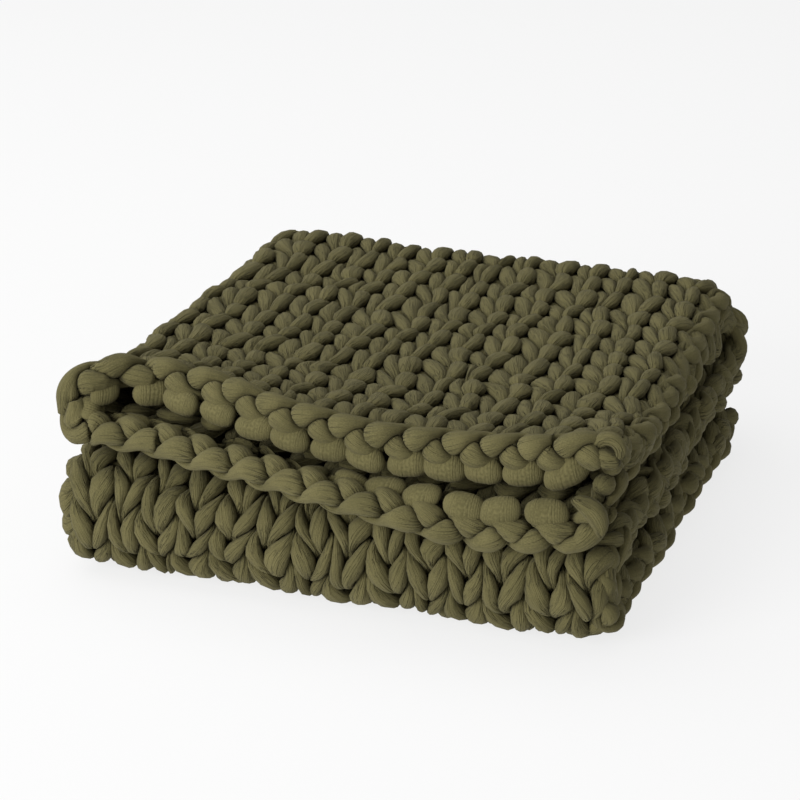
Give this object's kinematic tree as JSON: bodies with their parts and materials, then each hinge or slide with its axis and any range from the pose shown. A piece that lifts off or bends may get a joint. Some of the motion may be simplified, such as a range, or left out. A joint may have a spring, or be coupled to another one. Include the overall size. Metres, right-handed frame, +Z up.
{
  "type": "weighted blanket, chunky knit, folded",
  "caption": "Chunky-knit weighted blanket of stuffed olive jersey yarn, doubled and laid back and forth into a flat stack; lies on a bed, sofa or shelf",
  "frame": {"origin": "on the floor, under the middle of the folded stack", "axes": "+Z up; -Y is the front, where the two braided edges lie over the front turn; +X is the side of the four-layer open edges, -X the side of the lengthwise fold"},
  "size_m": [0.6105, 0.6652, 0.225],
  "materials": {
    "olive_jersey": "matte cotton jersey tube, stuffed, olive green"
  },
  "bodies": {
    "root": {"folded_knit": "olive_jersey"}
  },
  "joints": []
}
